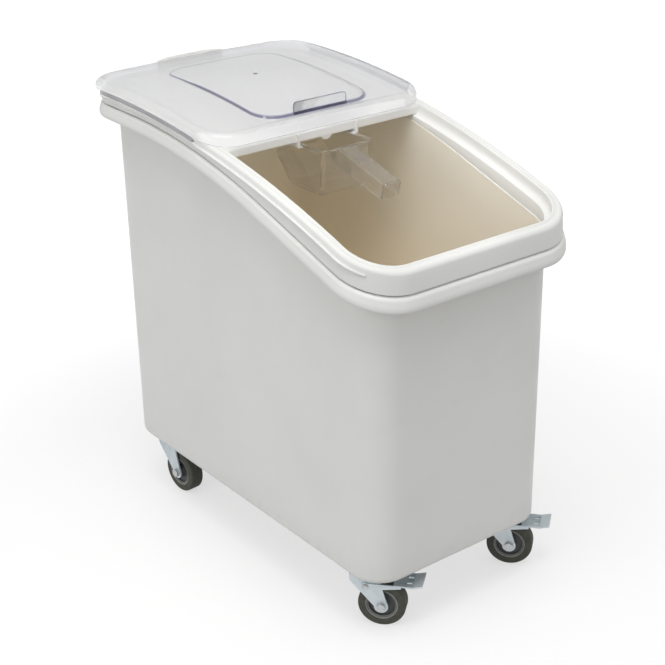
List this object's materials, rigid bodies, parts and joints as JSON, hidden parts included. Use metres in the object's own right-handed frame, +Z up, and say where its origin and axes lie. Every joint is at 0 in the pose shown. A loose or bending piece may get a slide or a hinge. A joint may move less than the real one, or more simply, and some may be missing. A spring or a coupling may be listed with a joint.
{
  "type": "rolling flour bin",
  "caption": "White plastic ingredient bin on swivel casters with a sloped top, clear sliding lid and clear hanging scoop.",
  "frame": {"origin": "on the floor under the middle of the bin", "axes": "+Z up, the low loading end faces -Y, +X to the right of someone facing the low end from outside looking along +Y"},
  "size_m": [0.416, 0.75, 0.7469],
  "materials": {
    "white_plastic": "satin moulded polyethylene",
    "clear_plastic": "polished clear moulding",
    "zinc_steel": "bright zinc plated pressing",
    "plain_steel": "plain turned steel",
    "tyre_rubber": "matt grey thermoplastic rubber",
    "wheel_core": "satin dark grey moulding"
  },
  "bodies": {
    "base": {"tub": "white_plastic", "top_frame": "white_plastic", "plate_fl": "zinc_steel", "kingpin_fl": "plain_steel", "screws_fl": "plain_steel", "plate_fr": "zinc_steel", "kingpin_fr": "plain_steel", "screws_fr": "plain_steel", "plate_rl": "zinc_steel", "kingpin_rl": "plain_steel", "screws_rl": "plain_steel", "plate_rr": "zinc_steel", "kingpin_rr": "plain_steel", "screws_rr": "plain_steel"},
    "lid": {"lid": "clear_plastic"},
    "scoop": {"scoop": "clear_plastic"},
    "swivel_fl": {"race_fl": "plain_steel", "fork_fl": "zinc_steel", "bush_fl": "plain_steel", "axle_fl": "plain_steel", "nut_fl": "plain_steel", "pedal_pin_fl": "plain_steel"},
    "wheel_fl": {"core_fl": "wheel_core", "tyre_fl": "tyre_rubber"},
    "brake_fl": {"pedal_fl": "zinc_steel"},
    "swivel_fr": {"race_fr": "plain_steel", "fork_fr": "zinc_steel", "bush_fr": "plain_steel", "axle_fr": "plain_steel", "nut_fr": "plain_steel", "pedal_pin_fr": "plain_steel"},
    "wheel_fr": {"core_fr": "wheel_core", "tyre_fr": "tyre_rubber"},
    "brake_fr": {"pedal_fr": "zinc_steel"},
    "swivel_rl": {"race_rl": "plain_steel", "fork_rl": "zinc_steel", "bush_rl": "plain_steel", "axle_rl": "plain_steel", "nut_rl": "plain_steel"},
    "wheel_rl": {"core_rl": "wheel_core", "tyre_rl": "tyre_rubber"},
    "swivel_rr": {"race_rr": "plain_steel", "fork_rr": "zinc_steel", "bush_rr": "plain_steel", "axle_rr": "plain_steel", "nut_rr": "plain_steel"},
    "wheel_rr": {"core_rr": "wheel_core", "tyre_rr": "tyre_rubber"}
  },
  "joints": [
    {"name": "lid_slide", "type": "hinge", "parent": "base", "child": "lid", "pos_m": [0, 0.268, -1.0954], "axis": [-1, 0, 0], "range_deg": [-11.4, 0]},
    {"name": "scoop_pull", "type": "slide", "parent": "base", "child": "scoop", "axis": [0, -1, 0], "range_m": [0, 0.14]},
    {"name": "swivel_fl", "type": "hinge", "parent": "base", "child": "swivel_fl", "pos_m": [-0.134, -0.268, 0.0925], "axis": [0, 0, 1], "continuous": true},
    {"name": "wheel_fl", "type": "hinge", "parent": "swivel_fl", "child": "wheel_fl", "pos_m": [-0.11664, -0.28868, 0.0375], "axis": [0.766, 0.6428, 0], "continuous": true},
    {"name": "brake_fl", "type": "hinge", "parent": "swivel_fl", "child": "brake_fl", "pos_m": [-0.13207, -0.2703, 0.072], "axis": [0.766, 0.6428, 0], "range_deg": [0, 9]},
    {"name": "swivel_fr", "type": "hinge", "parent": "base", "child": "swivel_fr", "pos_m": [0.134, -0.268, 0.0925], "axis": [0, 0, 1], "continuous": true},
    {"name": "wheel_fr", "type": "hinge", "parent": "swivel_fr", "child": "wheel_fr", "pos_m": [0.15135, -0.28868, 0.0375], "axis": [0.766, 0.6428, 0], "continuous": true},
    {"name": "brake_fr", "type": "hinge", "parent": "swivel_fr", "child": "brake_fr", "pos_m": [0.13593, -0.2703, 0.072], "axis": [0.766, 0.6428, 0], "range_deg": [0, 9]},
    {"name": "swivel_rl", "type": "hinge", "parent": "base", "child": "swivel_rl", "pos_m": [-0.134, 0.274, 0.0925], "axis": [0, 0, 1], "continuous": true},
    {"name": "wheel_rl", "type": "hinge", "parent": "swivel_rl", "child": "wheel_rl", "pos_m": [-0.13212, 0.24707, 0.0375], "axis": [0.9976, 0.0698, 0], "continuous": true},
    {"name": "swivel_rr", "type": "hinge", "parent": "base", "child": "swivel_rr", "pos_m": [0.134, 0.274, 0.0925], "axis": [0, 0, 1], "continuous": true},
    {"name": "wheel_rr", "type": "hinge", "parent": "swivel_rr", "child": "wheel_rr", "pos_m": [0.13118, 0.24715, 0.0375], "axis": [0.9945, -0.1045, 0], "continuous": true}
  ]
}
